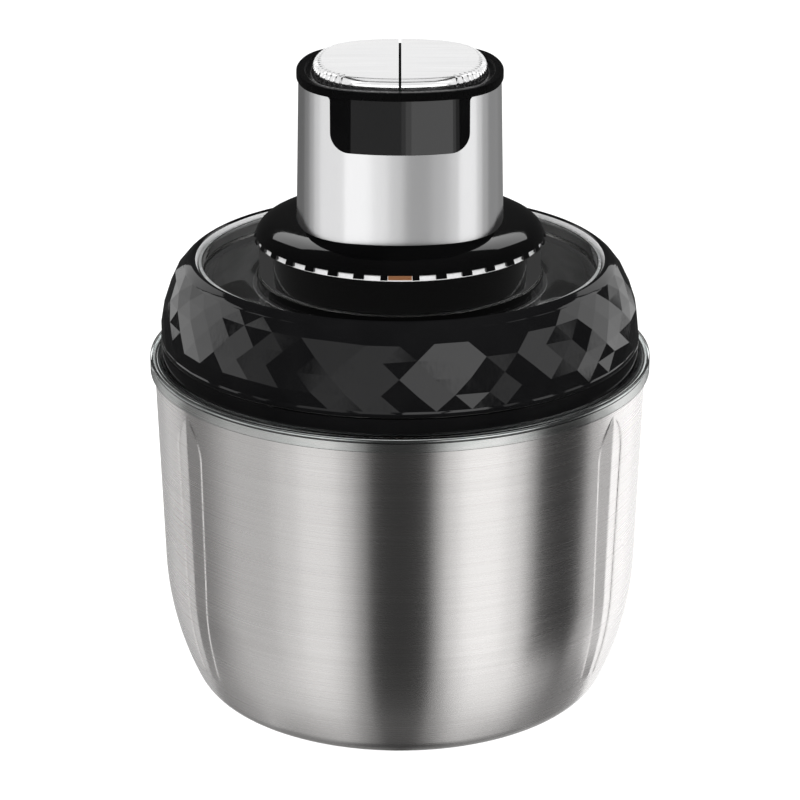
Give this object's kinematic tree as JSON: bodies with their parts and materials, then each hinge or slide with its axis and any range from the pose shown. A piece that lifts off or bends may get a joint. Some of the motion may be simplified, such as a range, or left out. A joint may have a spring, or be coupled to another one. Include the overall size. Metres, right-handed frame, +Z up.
{
  "type": "ice cream maker",
  "caption": "Steel freezer bowl with pressed leaf panels, clear lid under a faceted black collar, and a press-top motor head that drives a dasher through a gear train.",
  "frame": {"origin": "centre of the footprint, on the surface that the foot ring stands on", "axes": "+Z up along the dasher's axis, front (window and front leaf panels) faces -Y, +X to the viewer's right"},
  "size_m": [0.2, 0.2, 0.262],
  "materials": {
    "outer_shell": "brushed",
    "inner_liner": "satin",
    "coolant_charge": "soft",
    "foot_ring": "matte",
    "filler_plug": "matte",
    "pivot_pin": "turned",
    "clear_lid": "clear",
    "faceted_collar": "gloss",
    "collar_band": "gloss",
    "lid_gasket": "matte",
    "shaft_seal": "matte",
    "gearbox_case": "gloss",
    "vent_skirt": "gloss",
    "interlock_contact": "satin",
    "gear_deck": "cast",
    "chassis": "fine texture",
    "steel_sleeve": "fine brushed",
    "window_panel": "mirror gloss",
    "bezel": "gloss",
    "cord_gland": "matte",
    "stator_core": "laminated",
    "field_windings": "enamelled wire",
    "upper_bracket": "cast",
    "upper_bearing": "sintered",
    "lower_bearing": "sintered",
    "output_bearing": "sintered",
    "brush_holders": "pressed",
    "carbon_brushes": "carbon",
    "idler_pins": "ground",
    "switch_board": "laminate",
    "left_switch": "moulded",
    "right_switch": "moulded",
    "deck_screws": "zinc",
    "bracket_screws": "zinc",
    "left_spring": "wire",
    "right_spring": "wire",
    "left_cap": "brushed",
    "right_cap": "brushed",
    "left_slider": "moulded",
    "right_slider": "moulded",
    "left_plunger": "moulded",
    "right_plunger": "moulded",
    "motor_shaft": "ground",
    "rotor_core": "laminated",
    "rotor_windings": "enamelled wire",
    "commutator": "turned",
    "cooling_fan": "moulded",
    "motor_pinion": "cut",
    "left_idler_wheel": "moulded",
    "left_idler_pinion": "cut",
    "right_idler_wheel": "moulded",
    "right_idler_pinion": "cut",
    "output_gear": "moulded",
    "output_spindle": "turned",
    "drive_coupling": "moulded",
    "dasher_shaft": "ground",
    "dasher_frame": "moulded",
    "scraper_blades": "silicone"
  },
  "bodies": {
    "bowl": {"outer_shell": "outer_shell", "inner_liner": "inner_liner", "coolant_charge": "coolant_charge", "foot_ring": "foot_ring", "filler_plug": "filler_plug", "pivot_pin": "pivot_pin"},
    "lid": {"clear_lid": "clear_lid", "faceted_collar": "faceted_collar", "collar_band": "collar_band", "lid_gasket": "lid_gasket", "shaft_seal": "shaft_seal"},
    "head": {"gearbox_case": "gearbox_case", "vent_skirt": "vent_skirt", "interlock_contact": "interlock_contact", "gear_deck": "gear_deck", "chassis": "chassis", "steel_sleeve": "steel_sleeve", "window_panel": "window_panel", "bezel": "bezel", "cord_gland": "cord_gland", "stator_core": "stator_core", "field_windings": "field_windings", "upper_bracket": "upper_bracket", "upper_bearing": "upper_bearing", "lower_bearing": "lower_bearing", "output_bearing": "output_bearing", "brush_holders": "brush_holders", "carbon_brushes": "carbon_brushes", "idler_pins": "idler_pins", "switch_board": "switch_board", "left_switch": "left_switch", "right_switch": "right_switch", "deck_screws": "deck_screws", "bracket_screws": "bracket_screws", "left_spring": "left_spring", "right_spring": "right_spring"},
    "left_button": {"left_cap": "left_cap", "left_slider": "left_slider", "left_plunger": "left_plunger"},
    "right_button": {"right_cap": "right_cap", "right_slider": "right_slider", "right_plunger": "right_plunger"},
    "rotor": {"motor_shaft": "motor_shaft", "rotor_core": "rotor_core", "rotor_windings": "rotor_windings", "commutator": "commutator", "cooling_fan": "cooling_fan", "motor_pinion": "motor_pinion"},
    "left_idler": {"left_idler_wheel": "left_idler_wheel", "left_idler_pinion": "left_idler_pinion"},
    "right_idler": {"right_idler_wheel": "right_idler_wheel", "right_idler_pinion": "right_idler_pinion"},
    "output": {"output_gear": "output_gear", "output_spindle": "output_spindle", "drive_coupling": "drive_coupling"},
    "dasher": {"dasher_shaft": "dasher_shaft", "dasher_frame": "dasher_frame", "scraper_blades": "scraper_blades"}
  },
  "joints": [
    {"name": "lid_lift", "type": "slide", "parent": "bowl", "child": "lid", "axis": [0, 0, 1], "range_m": [0, 0.06]},
    {"name": "head_lift", "type": "slide", "parent": "lid", "child": "head", "axis": [0, 0, 1], "range_m": [0, 0.06]},
    {"name": "left_press", "type": "slide", "parent": "head", "child": "left_button", "axis": [0, 0, -1], "range_m": [0, 0.003], "stiffness_N_per_m": 600, "springref_m": -0.004, "deforming": ["left_spring"]},
    {"name": "right_press", "type": "slide", "parent": "head", "child": "right_button", "axis": [0, 0, -1], "range_m": [0, 0.003], "stiffness_N_per_m": 600, "springref_m": -0.004, "deforming": ["right_spring"]},
    {"name": "dasher_spin", "type": "hinge", "parent": "bowl", "child": "dasher", "pos_m": [0, 0, 0.02], "axis": [0, 0, 1], "continuous": true},
    {"name": "output_spin", "type": "hinge", "parent": "head", "child": "output", "pos_m": [0, 0, 0.16], "axis": [0, 0, 1], "continuous": true},
    {"name": "left_idler_spin", "type": "hinge", "parent": "head", "child": "left_idler", "pos_m": [-0.024, 0, 0.17], "axis": [0, 0, 1], "continuous": true},
    {"name": "right_idler_spin", "type": "hinge", "parent": "head", "child": "right_idler", "pos_m": [0.024, 0, 0.17], "axis": [0, 0, 1], "continuous": true},
    {"name": "rotor_spin", "type": "hinge", "parent": "head", "child": "rotor", "pos_m": [0, 0, 0.2], "axis": [0, 0, 1], "continuous": true}
  ],
  "couplings": [
    {"joint": "output_spin", "follows": "dasher_spin", "ratio": 1},
    {"joint": "left_idler_spin", "follows": "dasher_spin", "ratio": -3.2857},
    {"joint": "right_idler_spin", "follows": "dasher_spin", "ratio": -3.2857},
    {"joint": "rotor_spin", "follows": "dasher_spin", "ratio": 13.143}
  ]
}
